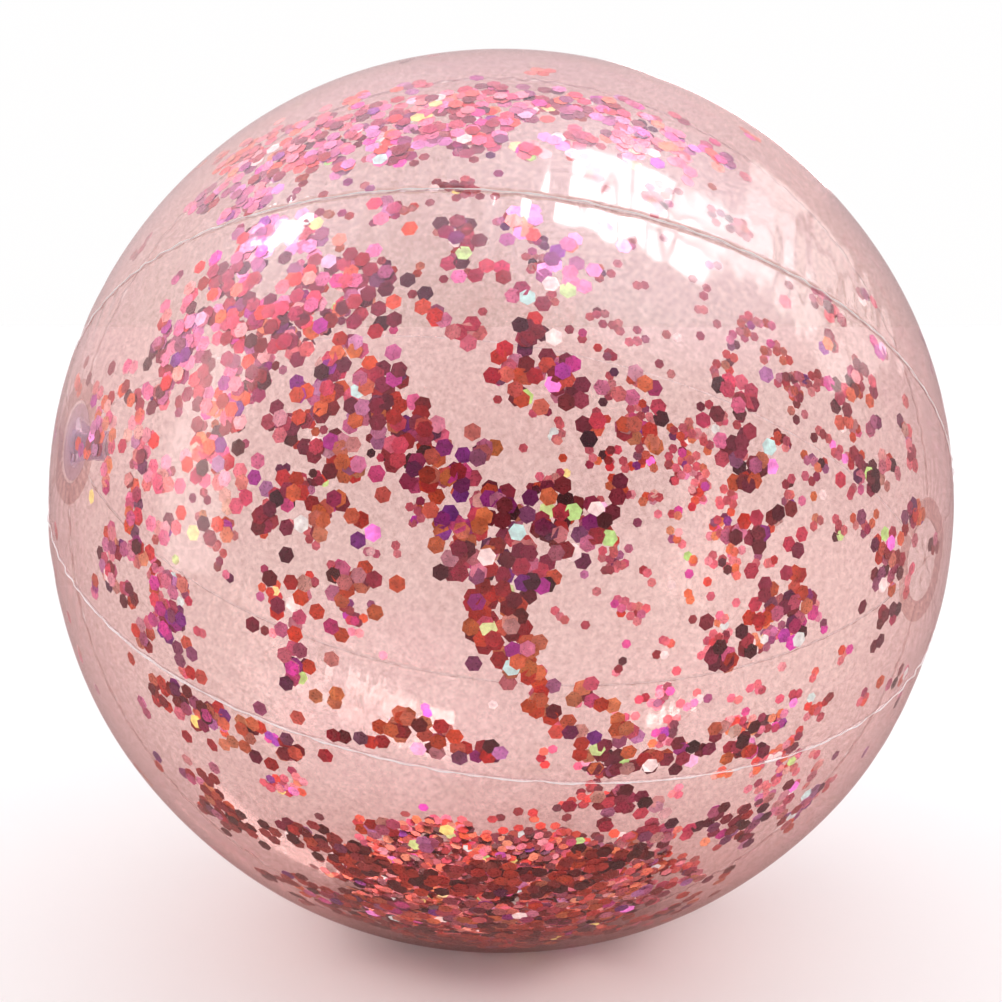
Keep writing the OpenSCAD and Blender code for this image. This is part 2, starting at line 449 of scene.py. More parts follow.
def make_panel(k):
    """One gore of film between two seams, trimmed to a round tip at each pole."""
    middle = SEAM_TURNS[k - 1] - HALF_PANEL
    lean = np.linspace(TIP_LEAN, math.pi - TIP_LEAN, PANEL_ROWS)[:, None]
    reach = HALF_PANEL - np.arcsin(WEB_T / (BALL_R * np.sin(lean)))
    # Columns lie closer together towards the seams
    share = np.sin(np.linspace(-math.pi / 2, math.pi / 2, PANEL_COLUMNS))[None, :] * EDGE_SHARE
    share = share + np.linspace(EDGE_SHARE - 1, 1 - EDGE_SHARE, PANEL_COLUMNS)[None, :]
    turn = middle + reach * share
    sheet = closed_sheet(film_points(lean, turn), film_points(lean, turn, FILM_T))
    piece = new_piece(f"film_panel_{k}", *sheet, film_vinyl, "ball")
    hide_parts(f"panel_{k}")


for k in range(1, PANELS + 1):
    make_panel(k)


# -------- seams
SEAM_ROWS = 420
FIN_MILK = 0.62
BAND_MILK = 0.06
BAND_W = 0.3 * MM
BAND_H = 0.06 * MM
FIN_W = 0.09 * MM
FIN_H = 0.42 * MM
# Which sides of the weld's outline make up the fin
FIN_SIDES = range(4, 9)
FIN_NICK = 0.09 * MM
FIN_WANDER = 0.12 * MM
FIN_WAVER = 0.08 * MM
SEAM_GAP = 0.004
SEAM_TAPER = 0.03


def make_seam(k):
    """The weld between two panels: a pressed band with a thin trimmed fin standing on it."""
    lean = np.linspace(CAP_LEAN + SEAM_GAP, math.pi - CAP_LEAN - SEAM_GAP, SEAM_ROWS)
    turn = np.full_like(lean, SEAM_TURNS[k - 1])
    base = film_radius(lean, turn)
    out = directions(lean, turn)
    side = np.cross(out, unit(np.gradient(out, axis=0)))
    nick = FIN_NICK * np.sin(340 * lean) * np.sin(23 * lean + k)
    wander = FIN_WANDER * np.sin(61 * lean + 2 * k) + FIN_WAVER * np.sin(143 * lean + k)
    taper = np.clip(np.minimum(lean - lean[0], lean[-1] - lean) / SEAM_TAPER, 0.05, 1)
    # Across, up, and how freely the point wanders, from the weld's edge to the fin's top
    half = [
        (BAND_W, -FILM_T, 0), (BAND_W, 0.3 * BAND_H, 0), (0.75 * BAND_W, BAND_H, 0), (1.5 * FIN_W, BAND_H, 0),
        (FIN_W, 2.4 * BAND_H, 0.2), (0.8 * FIN_W, 0.6 * FIN_H, 0.8), (0.5 * FIN_W, FIN_H, 1),
    ]
    rings = []
    for across, up, free in [(-across, up, free) for across, up, free in half] + half[::-1]:
        height = base + up * (1 - free * (1 - taper)) + free * nick
        height -= SEAM_DIP * 0.02 * abs(across) / BAND_W
        rings.append(CENTRE + height[:, None] * out + (across + free * wander)[:, None] * side)
    grid = np.stack(rings, axis=1)
    grid[..., 2] = np.maximum(grid[..., 2], 0.05 * MM)
    rows, columns = grid.shape[:2]
    piece = new_piece(f"seam_weld_{k}", grid.reshape(-1, 3), tube_faces(rows, columns), seam_vinyl, None)
    sides = np.arange(len(piece.data.polygons)) % columns
    milk = np.where(np.isin(sides, FIN_SIDES), FIN_MILK, BAND_MILK).astype(np.float32)
    piece.data.attributes.new("milkiness", "FLOAT", "FACE").data.foreach_set("value", milk)
    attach(piece, "ball")
    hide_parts(f"seam_{k}")


for k in range(1, PANELS + 1):
    make_seam(k)


# -------- end caps
CAP_T = 0.35 * MM
CAP_ROWS = 64
CAP_SEGMENTS = 240
CAP_GAP = 0.02 * MM
WELD_RING = (0.68, 0.9)
WELD_EDGE = 0.02
WELD_PRESS = 0.07 * MM
KNURL = 0.02 * MM
RIM_THINS = 0.6
RIM_THINS_FROM = 0.97
ALL_TURNS = np.linspace(0, 2 * math.pi, CAP_SEGMENTS, endpoint=False)


def make_cap(name, node, pole, hole_r):
    """Round film cap over the panel tips, with a pressed and knurled weld ring near its rim."""
    outer, inner = [], []
    for share in np.linspace(hole_r / CAP_R, 1, CAP_ROWS):
        lean = np.arcsin(share * CAP_R / BALL_R)
        whole = np.full_like(ALL_TURNS, lean if pole > 0 else math.pi - lean)
        from_start, to_end = (share - WELD_RING[0]) / WELD_EDGE, (WELD_RING[1] - share) / WELD_EDGE
        pressed = np.clip(from_start, 0, 1) * np.clip(to_end, 0, 1)
        knurl = KNURL * np.sin(90 * ALL_TURNS + 60 * share) * np.sin(90 * ALL_TURNS - 60 * share)
        lift = CAP_T - pressed * (WELD_PRESS - knurl)
        lift = lift * (1 - RIM_THINS * max(0.0, (share - RIM_THINS_FROM) / (1 - RIM_THINS_FROM)))
        film, out = film_radius(whole, ALL_TURNS), directions(whole, ALL_TURNS)
        outer.append(CENTRE + (film + lift)[:, None] * out)
        inner.append(CENTRE + (film + CAP_GAP)[:, None] * out)
    count = CAP_ROWS * CAP_SEGMENTS
    last = count - CAP_SEGMENTS
    flip = pole > 0
    faces = grid_faces(CAP_ROWS, CAP_SEGMENTS, 0, not flip, True)
    faces += grid_faces(CAP_ROWS, CAP_SEGMENTS, count, flip, True)
    faces += ring_faces(last, last + count, CAP_SEGMENTS, flip)
    faces += ring_faces(0, count, CAP_SEGMENTS, not flip)
    piece = new_piece(name, np.concatenate(outer + inner), faces, cap_vinyl, "ball")
    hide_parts(node)


make_cap("end_cap_valve_side", "valve_end_cap", 1, extent("valve_end_cap").inner)
make_cap("end_cap_plain_side", "plain_end_cap", -1, 0.05 * MM)


# -------- valve
FLANGE = extent("valve_flange")
STEM = extent("valve_stem")
PLUG = extent("plug")
FLAP = extent("check_flap")
BOOT = extent("valve_boot")
FLANGE_RIM = 0.55 * MM
FLANGE_WALL = 1.1 * MM
BEAD_W = 1.6 * MM
BEAD_H = 0.35 * MM
BOOT_T = 0.5 * MM
BOOT_STEPS = 26
STEM_L = 11.5 * MM
STEM_R = 3.75 * MM
BORE_R = 2.6 * MM
RIM_R = 4.35 * MM
RIM_H = 1.0 * MM
COLLAR_R = 4.65 * MM
COLLAR_H = 0.9 * MM
RIB_H = 0.22 * MM
FIRST_RIB = 3.2 * MM
RIB_STEP = 2.0 * MM
HEAD_R = 4.1 * MM
HEAD_H = 1.2 * MM
FLAP_STEPS = 36
FLAP_DISH = 0.12 * MM
HINGE_HALF = 1.5 * MM
TETHER_W = 2.2 * MM
TETHER_T = 0.42 * MM
TETHER_REACH = 7.2 * MM
TETHER_BEND = 5.2 * MM
TETHER_STEPS = 12


def make_flange():
    """Moulded ring under the valve's cap, with a bead round its port."""

    def top(r):
        """Just under the film's lowest point round a circle of radius r about the pole."""
        lowest = film_radius(np.full(CAP_SEGMENTS, r / BALL_R), ALL_TURNS).min() - 0.05 * MM
        return math.sqrt(lowest**2 - r**2)

    port, outer = FLANGE.inner, FLANGE.outer
    corners = [
        (port, top(port) - FLANGE_WALL), (outer, top(outer) - FLANGE_RIM), (outer, top(outer)),
        (port + BEAD_W, top(port + BEAD_W)), (port + 0.2 * MM, top(port) + BEAD_H), (port, top(port)),
    ]
    piece = new_piece("valve_flange_ring", *lathe(rounded(corners, 0.3 * MM)), flange_vinyl, "ball")
    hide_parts("valve_flange")


def make_boot():
    """Thin sleeve that folds in from the flange to the stem's collar, with soft folds round it."""
    top, foot = BOOT.high, BOOT.low
    top_r, foot_r = BOOT.outer - 0.1 * MM, COLLAR_R + 0.12 * MM
    outside, inside = [], []
    for i in range(BOOT_STEPS + 1):
        s = i / BOOT_STEPS
        r = top_r + (foot_r + BOOT_T - top_r) * (1 - (1 - s) ** 3.2)
        z = top + (foot - top) * s
        outside.append((r, z))
        inside.append((r - BOOT_T, z + 0.05 * MM))

    def folds(z, turn):
        s = (top - z) / (top - foot)
        bulge = np.clip(4 * s * (1 - s), 0, 1)
        return bulge * (np.sin(7 * turn + 5 * s) * 0.22 + np.sin(26 * s + 0.6 * np.sin(3 * turn)) * 0.16) * MM

    piece = new_piece("valve_boot_sleeve", *lathe(outside + inside[::-1], folds), boot_vinyl, None)
    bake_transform(piece)
    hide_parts("valve_boot")


def make_stem():
    """The tube that is blown into: rim at its mouth, three grip ribs, collar at its foot."""
    mouth, foot = STEM.high, STEM.high - STEM_L
    ribs = []
    for i in range(3):
        z = mouth - FIRST_RIB - RIB_STEP * i
        ribs += [(STEM_R, z + 0.45 * MM), (STEM_R + RIB_H, z + 0.2 * MM)]
        ribs += [(STEM_R + RIB_H, z - 0.2 * MM), (STEM_R, z - 0.45 * MM)]
    corners = (
        [(BORE_R, foot), (BORE_R, mouth), (RIM_R, mouth), (RIM_R, mouth - RIM_H), (STEM_R, mouth - RIM_H)]
        + ribs
        + [(STEM_R, foot + COLLAR_H), (COLLAR_R, foot + COLLAR_H), (COLLAR_R, foot)]
    )
    tube = lathe(rounded(corners, 0.18 * MM, 3)[::-1])
    piece = new_piece("valve_stem_tube", *tube, valve_vinyl, "stem")
    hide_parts("valve_stem")


def box_points(low, high, bevel):
    """Points and faces of a small block with bevelled edges, in axis coordinates (up, back, along)."""
    low, high = np.array(low, float), np.array(high, float)
    points, index, faces = [], {}, []
    for corner in product((0, 1), repeat=3):
        for axis in range(3):
            p = np.where(corner, high - bevel, low + bevel)
            p[axis] = (high if corner[axis] else low)[axis]
            index[(*corner, axis)] = len(points)
            points.append(p)
    for axis in range(3):
        a, b = [i for i in range(3) if i != axis]
        for side in (0, 1):
            ring = []
            for u, v in ((0, 0), (1, 0), (1, 1), (0, 1)):
                key = [0, 0, 0]
                key[axis], key[a], key[b] = side, u, v
                ring.append(index[(*key, axis)])
            faces.append(ring if side else ring[::-1])
        for u, v in product((0, 1), repeat=2):
            near, far = [0, 0, 0], [0, 0, 0]
            near[a] = far[a] = u
            near[b] = far[b] = v
            far[axis] = 1
            faces.append([index[(*near, a)], index[(*far, a)], index[(*far, b)], index[(*near, b)]])
    for corner in product((0, 1), repeat=3):
        faces.append([index[(*corner, axis)] for axis in range(3)])
    points = np.array(points)
    return CENTRE + points[:, :1] * TO_TOP + points[:, 1:2] * TO_BACK + points[:, 2:] * TO_VALVE, faces


def joined(parts):
    """Several sets of points and faces as one."""
    points, faces, start = [], [], 0
    for p, f in parts:
        points.append(p)
        faces += [[i + start for i in face] for face in f]
        start += len(p)
    return np.concatenate(points), faces


def make_plug():
    """Stopper: a ribbed body in the bore, a flat head with a raised edge, and a tab to pull it by."""
    top, nose = PLUG.high, PLUG.low
    head = top - HEAD_H
    body = BORE_R - 0.05 * MM
    corners = [
        (0.02 * MM, nose), (body - 0.5 * MM, nose), (body, nose + 1.0 * MM), (body, nose + 3.0 * MM),
        (body - 0.12 * MM, nose + 3.3 * MM), (body, nose + 3.6 * MM), (body, head), (HEAD_R, head),
        (HEAD_R, top), (HEAD_R - 0.8 * MM, top), (HEAD_R - 1.0 * MM, top - 0.35 * MM),
        (0.02 * MM, top - 0.3 * MM),
    ]
    parts = [lathe(rounded(corners, 0.2 * MM, 3))]
    tab_low, tab_high = (3.6 * MM, -1.5 * MM, top - 0.8 * MM), (6.7 * MM, 1.5 * MM, top - 0.05 * MM)
    parts.append(box_points(tab_low, tab_high, 0.18 * MM))
    for i in range(3):
        ridge = (4.5 + 0.7 * i) * MM
        ridge_high = ((4.8 + 0.7 * i) * MM, 1.2 * MM, top + 0.12 * MM)
        parts.append(box_points((ridge, -1.2 * MM, top - 0.1 * MM), ridge_high, 0.06 * MM))
    piece = new_piece("plug_stopper", *joined(parts), valve_vinyl, "plug")
    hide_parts("plug")


def make_flap():
    """Tongue of thin film over the stem's inner end, slightly dished, hung from its upper edge."""
    radius = BORE_R + 0.7 * MM
    hinge = STEM_R + 0.05 * MM
    start = math.asin(HINGE_HALF / radius)
    outline = []
    for i in range(FLAP_STEPS + 1):
        a = start + (2 * math.pi - 2 * start) * i / FLAP_STEPS
        outline.append((radius * math.cos(a), radius * math.sin(a)))
    outline += [(hinge, -HINGE_HALF), (hinge + 0.15 * MM, 0), (hinge, HINGE_HALF)]
    rings = [1.0, 0.85, 0.6, 0.3]
    count = len(outline)
    block = count * len(rings) + 1
    points, faces = [], []
    for base, z in ((0, FLAP.high), (block, FLAP.low)):
        for share in rings:
            centre = CENTRE + (z - FLAP_DISH * (1 - share)) * TO_VALVE
            points += [centre + u * share * TO_TOP + v * share * TO_BACK for u, v in outline]
        points.append(CENTRE + (z - FLAP_DISH - 0.01 * MM) * TO_VALVE)
        faces += grid_faces(len(rings), count, base, flip=base > 0, closed=True)
        last = base + (len(rings) - 1) * count
        for c in range(count):
            tri = [last + c, last + (c + 1) % count, base + block - 1]
            faces.append(tri[::-1] if base else tri)
    faces += ring_faces(0, block, count, flip=True)
    piece = new_piece("check_flap_tongue", np.array(points), faces, flap_film, "flap")
    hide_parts("check_flap")


def make_tether():
    """Flat strap looped from the stem's rim to the plug's head."""
    low = STEM.high - RIM_H / 2
    high = PLUG.high - 0.6 * MM
    bend = (high - low) / 2
    path = [(-RIM_R + 0.2 * MM, low), (-TETHER_BEND, low)]
    for i in range(TETHER_STEPS + 1):
        a = math.pi / 2 - math.pi * i / TETHER_STEPS
        path.append((-TETHER_REACH + bend - bend * math.cos(a), (low + high) / 2 - bend * math.sin(a)))
    path = np.array(path + [(-TETHER_BEND, high), (-HEAD_R + 0.2 * MM, high)])
    tangent = unit(np.gradient(path, axis=0))
    normal = np.stack([-tangent[:, 1], tangent[:, 0]], axis=1)
    w, t = TETHER_W / 2, TETHER_T / 2
    outline = rounded([(-w, -t), (w, -t), (w, t), (-w, t)], 0.15 * MM, 3)
    grid = np.array(
        [
            [CENTRE + (u + t * nu) * TO_TOP + w * TO_BACK + (z + t * nz) * TO_VALVE for w, t in outline]
            for (u, z), (nu, nz) in zip(path, normal)
        ]
    )
    faces = tube_faces(*grid.shape[:2], flip=True)
    piece = new_piece("plug_tether_strap", grid.reshape(-1, 3), faces, valve_vinyl, None)
    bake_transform(piece)
    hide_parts("plug_tether")


for make in (make_flange, make_boot, make_stem, make_flap, make_plug, make_tether):
    make()


# -------- glitter
FLAKE_W = 4.0 * MM
FLAKE_R = FLAKE_W / 2 / math.cos(math.pi / 6)
FLAKE_T = 0.07 * MM
FLAKE_GAP = 0.03 * MM
FIRST_GAP = 0.05 * MM
MOST_LAYERS = 6
SPARKLE_SHARE = 0.03
# The most that a plain flake glows: a painted glint
MOST_PAINTED_GLOW = 0.42
BRIGHTEST_FOIL = 0.95
# The flakes are seen, and lit, through tinted film, so their own colours are this much lighter than they look
FOIL_GAIN = np.array([1.68, 1.55, 1.7])
# The film's gloss lays a pale veil over them, so this much is taken off
FILM_VEIL = 0.018
DEEPEST_FOIL = 0.003

PALETTES = dict(
    wine=[(104, 34, 54), (122, 40, 66), (150, 52, 80), (184, 66, 92), (78, 26, 44), (134, 44, 58)],
    red=[(196, 62, 48), (150, 38, 44), (222, 92, 62), (118, 30, 42), (176, 48, 56), (232, 106, 86)],
    mauve=[(156, 96, 134), (182, 110, 146), (206, 124, 158), (126, 76, 112), (222, 140, 176)]
    + [(176, 130, 178)],
    pink=[(240, 128, 148), (250, 156, 168), (216, 100, 126), (252, 170, 160), (226, 112, 150)]
    + [(246, 140, 132)],
    rose=[(206, 112, 122), (184, 92, 106), (222, 134, 140), (164, 80, 96), (214, 120, 128), (230, 150, 152)],
    orange=[(214, 86, 50), (236, 120, 74), (252, 144, 108), (190, 62, 44), (244, 132, 98), (222, 118, 70)],
    violet=[(156, 52, 152), (122, 44, 146), (196, 66, 160), (104, 36, 92), (206, 80, 150), (150, 46, 96)],
    # Ember flakes are partly the glitter's own dark red and partly painted shade: laid low on the front wall
    # and in the pile, they darken where the heap shades the view
    ember=[(152, 52, 46), (186, 66, 52), (116, 38, 44), (208, 88, 62), (90, 28, 36), (164, 76, 70)],
    # Sparkle flakes glow fully in these bright tints: painted glints
    sparkle=[(196, 252, 246), (250, 236, 130), (158, 232, 128), (214, 176, 255), (255, 126, 230)]
    + [(255, 250, 238), (170, 236, 255)],
)
PLAIN = ("wine", "red", "mauve", "pink", "orange", "violet")
EVEN_COLOURS = ("pink", "mauve", "wine", "red", "orange")
# The pile is mostly ember flakes: dark partly in their own colour, partly as painted shade on the heap
PILE_COLOURS = ("orange", "ember", "ember", "wine", "ember", "rose")
ANY_COLOUR_SHARE = 0.2
# How much less often a flake of the dark ember palette takes another colour; those flakes paint shade as well
# as carrying their own colour
CALM = 0.3

# Clusters of clinging flakes: across and up as seen from the camera, in hundredths of the ball's radius,
# spread in degrees across and up, how many, and colours
FRONT_CLUSTERS = [
    (-31, 46, 2, 1.8, 60, "wine"), (-38, 27, 2, 2, 60, "wine"), (-27, 24, 1.9, 1.8, 96, "wine"),
    (-21, 15, 1.8, 1.8, 96, "wine"), (-13, 7, 1.9, 1.7, 84, "violet"), (-6, 15, 1, 1.8, 16, "pink"),
    (-7, -1, 1.9, 1.7, 80, "violet"), (3, -4, 1.9, 1.6, 60, "wine"), (13, -3, 1.8, 1.1, 26, "wine"),
    (20, -7, 1.6, 1.2, 22, "violet"), (-2, -13, 1.9, 1.6, 68, "red"), (7, -13, 1.7, 1.3, 30, "wine"),
    (-1, -23, 1.4, 1.6, 46, "red"), (-1, -32, 1.4, 1.5, 44, "red"), (4, -36, 1.4, 1.3, 26, "orange"),
    (15, -44, 2.2, 2, 24, "orange"), (-21, -49, 1.6, 1.2, 12, "orange"), (-16, -54, 2.2, 1, 14, "red"),
    (-33, -54, 2.4, 0.6, 10, "red"), (-2, -56, 2.2, 1.2, 8, "wine"), (32, -57, 3, 1.4, 90, "wine"),
    (24, -51, 2.2, 1.6, 34, "orange"), (27, -67, 3, 0.8, 24, "wine"), (53, -55, 2.8, 1.4, 34, "wine"),
    (64, -21, 2.2, 2.6, 40, "wine"), (66, -25, 1.8, 1.6, 16, "violet"), (51, -30, 2.2, 1.6, 22, "wine"),
    (55, 16, 2.4, 2.6, 34, "wine"), (53, 10, 1.6, 1.4, 14, "orange"), (59, -6, 2.2, 2.4, 24, "wine"),
    (78, 4, 2, 2.4, 16, "wine"), (82, -12, 2.2, 3, 18, "wine"), (87, -27, 2.2, 4, 20, "wine"),
    (6, 41, 2.2, 1.6, 16, "wine"), (8, 30, 2.2, 1.8, 34, "red"), (13, 26, 1.6, 1.6, 14, "wine"),
    (28, 16, 2.2, 2, 16, "orange"), (23, 24, 3, 2, 10, "pink"), (-36, -2, 2.4, 1.8, 26, "orange"),
    (-31, 4, 2, 1.6, 12, "orange"), (-50, -7, 1.4, 3.2, 22, "wine"), (-33, -21, 2.2, 1.8, 18, "orange"),
    (-45, -25, 2.4, 2, 12, "pink"), (-44, -34, 1.6, 2.6, 22, "orange"), (-51, -53, 2.6, 1.8, 34, "red"),
    (-61, -50, 2.4, 1.8, 28, "orange"), (-70, -44, 2.6, 2.4, 40, "red"), (-76, -37, 2.4, 2.4, 26, "red"),
    (-76, -23, 2.2, 2.6, 30, "violet"), (-86, -15, 2.4, 3.6, 34, "pink"), (-81, 7, 3, 4.5, 80, "pink"),
    (-66, 0, 3.4, 4.5, 50, "pink"), (-88, 19, 3, 4, 60, "pink"), (54, -73, 2.6, 1.6, 34, "wine"),
    (66, -65, 3.4, 2.6, 50, "pink"), (-57, -73, 2.8, 1.4, 44, "ember"), (-69, -62, 3, 2.4, 40, "red"),
    (-13, 60, 2.4, 1.6, 12, "wine"), (-6, 53, 2.4, 1.4, 8, "wine"), (6, 61, 2.2, 1.4, 10, "mauve"),
    (12, 52, 2.6, 1.6, 16, "mauve"), (-16, 43, 2.4, 1.4, 6, "red"), (-12, 37, 1.6, 1, 6, "wine"),
    (-53, 60, 3.4, 2.4, 70, "mauve"), (-41, 56, 3.2, 1.8, 50, "mauve"), (-61, 46, 3, 2.6, 70, "wine"),
    (-73, 34, 3, 3, 80, "mauve"), (-53, 39, 3.4, 2.6, 60, "rose"), (-44, 44, 2.6, 2.4, 60, "wine"),
    (-63, 24, 3, 2.4, 50, "wine"), (-52, 21, 2.4, 1.8, 30, "wine"), (-39, 13, 2.2, 1.6, 16, "wine"),
    (-59, 68, 4, 2.4, 70, "mauve"), (-48, 79, 4.5, 2.6, 90, "rose"), (-46, 76, 5, 2.6, 44, "wine"),
    (-33, 85, 5.5, 2.6, 130, "rose"), (-27, 80, 4, 1.8, 70, "mauve"), (-14, 89, 6, 3, 160, "rose"),
    (-14, 82, 5, 1.8, 80, "mauve"), (0, 87, 5.5, 3, 130, "wine"), (13, 86, 4.5, 2.6, 80, "mauve"),
    (23, 79, 4.5, 1.8, 40, "rose"), (37, 80, 4.5, 3, 50, "rose"), (74, 34, 2.6, 3.6, 30, "wine"),
    # The ember clusters low on the front wall, from here on, lay a dark smile-shaped band of painted shade
    # along the pile's front ridge
    (84, 28, 2.6, 4, 24, "rose"), (90, 5, 2.4, 6, 30, "rose"), (-41, -75, 2.2, 1.2, 60, "ember"),
    (-33, -80, 2.4, 1.4, 90, "ember"), (-22, -83, 2.6, 1.4, 100, "ember"),
    (-10, -85, 2.8, 1.4, 110, "ember"), (2, -85, 2.8, 1.4, 110, "ember"), (14, -84, 2.8, 1.4, 100, "ember"),
    (23, -80, 2.4, 1.6, 80, "ember"), (30, -74, 2, 1.6, 44, "wine"), (36, -86, 4, 1.6, 34, "rose"),
    (-40, -87, 4, 1.6, 60, "ember"), (-25, -91, 5, 1.6, 90, "orange"), (0, -92, 6, 1.6, 100, "rose"),
    (20, -91, 5, 1.6, 70, "orange"), (-20, -74, 5, 1, 14, "red"), (-2, -97, 12, 3, 320, "ember"),
]
BACK_CLUSTERS = [
    (-5, -84, 11, 6, 420, "ember"), (45, 28, 13, 14, 200, "rose"), (52, -15, 13, 14, 260, "rose"),
    (23, 7, 12, 12, 130, "rose"), (30, -44, 12, 7, 80, "rose"), (75, 7, 6, 14, 80, "rose"),
    (60, -57, 10, 6, 110, "rose"), (-7, 56, 14, 8, 80, "rose"), (-51, 37, 13, 13, 170, "mauve"),
    (-66, -7, 9, 15, 140, "rose"), (0, 79, 18, 7, 120, "rose"), (-36, -7, 10, 10, 50, "rose"),
    (-36, -50, 12, 6, 40, "rose"),
]
FRONT, BACK = -1, 1
EVEN_GROUPS = 13
EVEN_COUNT = 4
EVEN_SPREAD = 3.0
SINGLE_SHARE = 0.3
SINGLE_REACH = 2.2
CLUSTER_REACH = 2.1
# A flake lies beside one of so many before it, this share of its width away
PARENTS = 14
BESIDE = (0.62, 1.12)
KEEP_COLOUR = 0.72
OWN_COLOUR = 0.78
VALVE_CLEAR = math.radians(9)
CLINGING_TILT = math.radians(7)
FLAKE_SIZES = (0.94, 1.02)
PILE_FLAKES = 2400
PILE_LEAN = math.radians(20.5)
PILE_TOP_LAYERS = 16
PILE_TILT = math.radians(16)
PILE_STEP = 0.28 * MM
PILE_CLEAR = 0.9 * MM
PILE_STRETCH = 1.14
PILE_SHIFT = 0.02
STRAY_SHARE = 0.1


def level_and_upright(d):
    """The level and upright directions along the film at d."""
    level = unit(np.cross([0, 0, 1], d))
    return np.stack([level, np.cross(d, level)])


def sideways(d, a, b):
    """The direction a radians level and b radians upright from d."""
    level, upright = level_and_upright(d)
    return unit(d + math.tan(a) * level + math.tan(b) * upright)


def seen_at(across, up, wall):
    """Direction of the point on the front or back wall that shows at a place in the camera's view."""
    eye = CAMERA_TOWARD * CAMERA_AWAY
    edge = math.sqrt(CAMERA_AWAY**2 - 1)
    ray = unit((across * np.array([1.0, 0, 0]) + up * CAMERA_UPRIGHT) / edge - CAMERA_TOWARD)
    nearest = -(ray @ eye)
    half_chord = math.sqrt(max(0.0, 1 - eye @ eye + nearest**2))
    return unit(eye + (nearest + wall * half_chord) * ray)


def any_colour(random):
    return PLAIN[random.randint(len(PLAIN))]


def clump(random, middle, spread_a, spread_b, count, palette):
    """Directions and colours of flakes that cling in touching groups, scattered about middle."""
    spreads = np.radians([spread_a, spread_b])
    axes = level_and_upright(middle)
    out, names = [], []
    for i in range(count):
        if i == 0 or random.random_sample() < SINGLE_SHARE:
            shift = np.clip(random.normal(0, 1, 2), -SINGLE_REACH, SINGLE_REACH) * spreads
            out.append(sideways(middle, *shift))
            own = random.random_sample() < OWN_COLOUR
            names.append(palette if own or palette == "ember" else any_colour(random))
            continue
        parent = random.randint(max(0, i - PARENTS), i)
        turn = random.uniform(0, 2 * math.pi)
        step = FLAKE_W / BALL_R * random.uniform(*BESIDE) * np.array([math.cos(turn), math.sin(turn)])
        beside = sideways(out[parent], *step)
        if np.linalg.norm(axes @ beside / spreads) > CLUSTER_REACH:
            beside = sideways(out[parent], *-step)
        out.append(beside)
        same = random.random_sample() < KEEP_COLOUR
        names.append(names[parent] if same or palette == "ember" else any_colour(random))
    return out, names


def clinging_directions(random):
    """Every clinging flake's direction and colours, clusters first, then small groups all over."""
    out, names = [], []
    for wall, table in ((FRONT, FRONT_CLUSTERS), (BACK, BACK_CLUSTERS)):
        for across, up, *scatter in table:
            d, own = clump(random, seen_at(across / 100, up / 100, wall), *scatter)
            out += d
            names += own
    for palette in EVEN_COLOURS:
        for _ in range(EVEN_GROUPS):
            middle = unit(random.normal(0, 1, 3))
            d, own = clump(random, middle, EVEN_SPREAD, EVEN_SPREAD, EVEN_COUNT, palette)
            out += d
            names += own
    return np.array(out), np.array(names)


def stacked(d, flake_lean, most):
    """The layer each flake lies in, above those it overlaps, and which flakes are kept."""
    layers = np.zeros(len(d), int)
    kept = np.ones(len(d), bool)
    close = math.cos(flake_lean)
    for i in range(1, len(d)):
        under = (d[:i] @ d[i] > close) & kept[:i]
        if under.any():
            layers[i] = layers[:i][under].max() + 1
        kept[i] = layers[i] < most
    return layers, kept


def pick_colours(random, names):
    """A colour and a glow for each flake: mostly its cluster's colour, some of any, and a few sparkles. The
    glow is a painted glint.
    """
    out = []
    for name in names:
        luck = random.random_sample() / (CALM if name == "ember" else 1)
        if luck < SPARKLE_SHARE:
            name = "sparkle"
        elif luck < ANY_COLOUR_SHARE:
            name = any_colour(random)
        shades = PALETTES[name]
        shade = np.array(shades[random.randint(len(shades))], float)
        shade = np.clip(shade * random.uniform(0.9, 1.08) + random.uniform(-8, 8, 3), 12, 255)
        linear = np.array(colour(*shade)[:3]) * FOIL_GAIN - FILM_VEIL
        linear = np.clip(linear, DEEPEST_FOIL, BRIGHTEST_FOIL)
        # How much each flake glows: painted glints, full for sparkles, a little at random for most, none for
        # the dark ember flakes
        shine = 1.0 if name == "sparkle" else random.random_sample() ** 3 * MOST_PAINTED_GLOW * (name != "ember")
        out.append((*linear, shine))
    return out


def flake_mesh(centres, ups, spins, sizes):
    """Points and faces of thin hexagons with the given centres and normals."""
    points, faces = [], []
    for centre, up, spin, size in zip(centres, ups, spins, sizes):
        side = unit(np.cross(up, [0.3, 0.5, 0.81]))
        fore = np.cross(up, side)
        a = spin + np.arange(6) * math.pi / 3
        ring = np.cos(a)[:, None] * side + np.sin(a)[:, None] * fore
        start = 12 * (len(points) // 2)
        points.append(centre + ring * FLAKE_R * size + up * FLAKE_T / 2)
        points.append(centre + ring * FLAKE_R * size - up * FLAKE_T / 2)
        faces.append([start + i for i in range(6)])
        faces.append([start + 6 + i for i in range(5, -1, -1)])
        faces += [[start + i, start + 6 + i, start + 6 + (i + 1) % 6, start + (i + 1) % 6] for i in range(6)]
    return np.concatenate(points), faces


def glitter_piece(name, flakes, colours, body, node):
    """A piece made of flakes, given as their centres, normals, spins and sizes, each with its colour."""
    piece = new_piece(name, *flake_mesh(*flakes), foil, None, smooth=False)
    shades = piece.data.attributes.new("flake_colour_and_glow", "FLOAT_COLOR", "FACE")
    shades.data.foreach_set("color", np.repeat(np.array(colours, np.float32), 8, axis=0).ravel())
    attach(piece, body)
    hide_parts(node)


def tilted(random, ups, most):
    """Normals tipped by up to most radians, and by how much."""
    tip = random.normal(0, 1, ups.shape)
    tip = unit(tip - (tip * ups).sum(axis=1)[:, None] * ups)
    angle = random.uniform(0, 1, len(ups)) ** 2 * most
    return ups * np.cos(angle)[:, None] + tip * np.sin(angle)[:, None], angle


